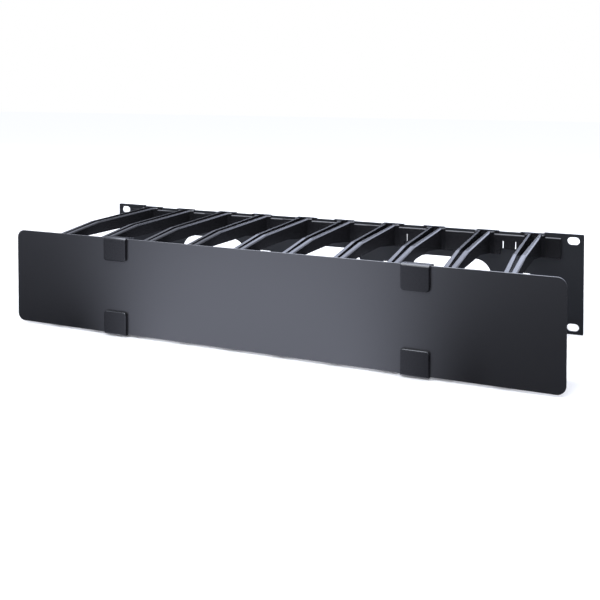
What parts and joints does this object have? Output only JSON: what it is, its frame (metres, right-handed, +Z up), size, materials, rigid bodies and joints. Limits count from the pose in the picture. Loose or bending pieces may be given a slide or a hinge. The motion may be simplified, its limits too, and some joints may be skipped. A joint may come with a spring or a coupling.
{
  "type": "horizontal cable manager",
  "caption": "Rack-mount horizontal cable manager: a slotted steel panel with rows of moulded trough fingers, and a flat clip-on cover that hinges up or down.",
  "frame": {"origin": "centre of the four rack bolts, on the rear face of the panel, which meets the rack posts", "axes": "+X along the rack width to the right seen from the front, +Y to the rear, +Z up"},
  "size_m": [0.4826, 0.1648, 0.0882],
  "materials": {
    "panel_steel": "fine-textured black powder coat on steel sheet",
    "finger_moulding": "satin black moulded plastic",
    "cover_steel": "satin black powder coat on steel sheet",
    "clip_moulding": "satin black moulded plastic",
    "pin_steel": "plain drawn steel rod"
  },
  "bodies": {
    "frame": {"back_panel": "panel_steel", "finger_pair_top_1": "finger_moulding", "finger_pair_top_2": "finger_moulding", "finger_pair_top_3": "finger_moulding", "finger_pair_top_4": "finger_moulding", "finger_pair_top_5": "finger_moulding", "finger_pair_bottom_1": "finger_moulding", "finger_pair_bottom_2": "finger_moulding", "finger_pair_bottom_3": "finger_moulding", "finger_pair_bottom_4": "finger_moulding", "finger_pair_bottom_5": "finger_moulding", "hinge_pin_top_left": "pin_steel", "hinge_pin_top_right": "pin_steel"},
    "lower_pins": {"hinge_pin_bottom_left": "pin_steel", "hinge_pin_bottom_right": "pin_steel"},
    "cover": {"cover_plate": "cover_steel", "clip_top_left": "clip_moulding", "clip_top_right": "clip_moulding", "clip_bottom_left": "clip_moulding", "clip_bottom_right": "clip_moulding"}
  },
  "joints": [
    {"name": "cover_opens_down", "type": "hinge", "parent": "frame", "child": "lower_pins", "pos_m": [0, -0.152, -0.0338], "axis": [1, 0, 0], "range_deg": [0, 105]},
    {"name": "cover_opens_up", "type": "hinge", "parent": "lower_pins", "child": "cover", "pos_m": [0, -0.152, 0.0338], "axis": [1, 0, 0], "range_deg": [-105, 0]}
  ]
}
